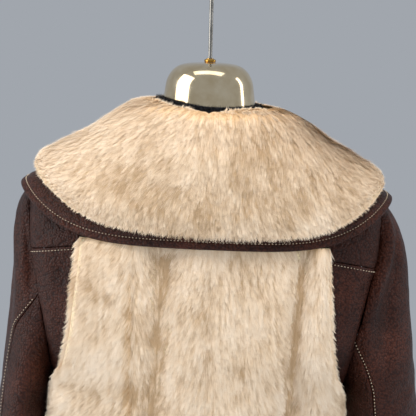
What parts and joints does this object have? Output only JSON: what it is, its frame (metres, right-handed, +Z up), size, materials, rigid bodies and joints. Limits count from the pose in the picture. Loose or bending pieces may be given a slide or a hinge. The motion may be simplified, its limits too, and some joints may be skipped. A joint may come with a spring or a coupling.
{
  "type": "leather jacket on a hanging dress form",
  "caption": "Short brown leather jacket with a broad fur cape collar and a fur back panel, worn by a limbless dress form that hangs from a hooked rod.",
  "frame": {"origin": "inside of the crown of the hook that the dress form hangs by", "axes": "+Z up, +X to the wearer's left, the wearer faces -Y, so the back that the picture shows faces +Y"},
  "size_m": [0.5886, 0.3082, 0.9488],
  "materials": {
    "brown_leather": "grained, soft gloss",
    "cream_fur": "long soft pile",
    "black_rib_knit": "matt",
    "polished_cap": "polished",
    "rod_steel": "polished",
    "brass": "polished",
    "form_cover": "matt knit"
  },
  "bodies": {
    "root": {"back_yoke": "brown_leather", "back_fur": "cream_fur", "side_back_left": "brown_leather", "side_back_right": "brown_leather", "front_left": "brown_leather", "front_right": "brown_leather", "sleeve_upper_left": "brown_leather", "sleeve_upper_right": "brown_leather", "sleeve_under_left": "brown_leather", "sleeve_under_right": "brown_leather", "under_collar": "brown_leather", "collar_edge": "brown_leather", "collar_fur_left": "cream_fur", "collar_fur_right": "cream_fur", "neck_band": "black_rib_knit", "neck_cap": "polished_cap", "cap_ferrule": "brass", "form_torso": "form_cover", "hanging_rod": "rod_steel"}
  },
  "joints": []
}
